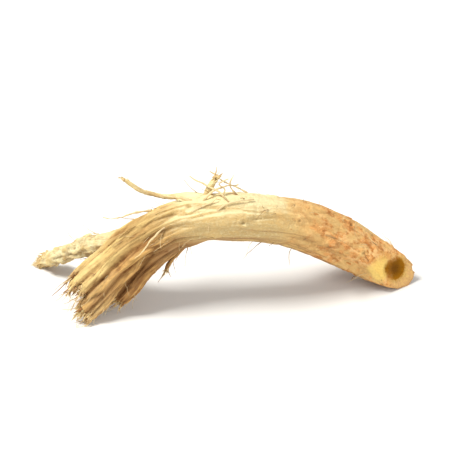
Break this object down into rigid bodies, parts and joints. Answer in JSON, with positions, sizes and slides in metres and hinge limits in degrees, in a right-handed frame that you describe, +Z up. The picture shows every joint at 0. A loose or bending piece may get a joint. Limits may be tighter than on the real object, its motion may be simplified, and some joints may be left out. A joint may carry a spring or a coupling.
{
  "type": "dried valerian root",
  "caption": "Dried cut piece of valerian root, arched, with one slanted cut end, the other end split into strands, a side branch and thin rootlets.",
  "frame": {"origin": "on the floor, below the middle of the root's box", "axes": "+X along the root towards its slanted cut end, +Z up as the arch stands, +Y to the side that the branch reaches"},
  "size_m": [0.028, 0.0084, 0.0102],
  "materials": {
    "root_bark": "matt"
  },
  "bodies": {
    "root": {"valerian_root": "root_bark"}
  },
  "joints": []
}
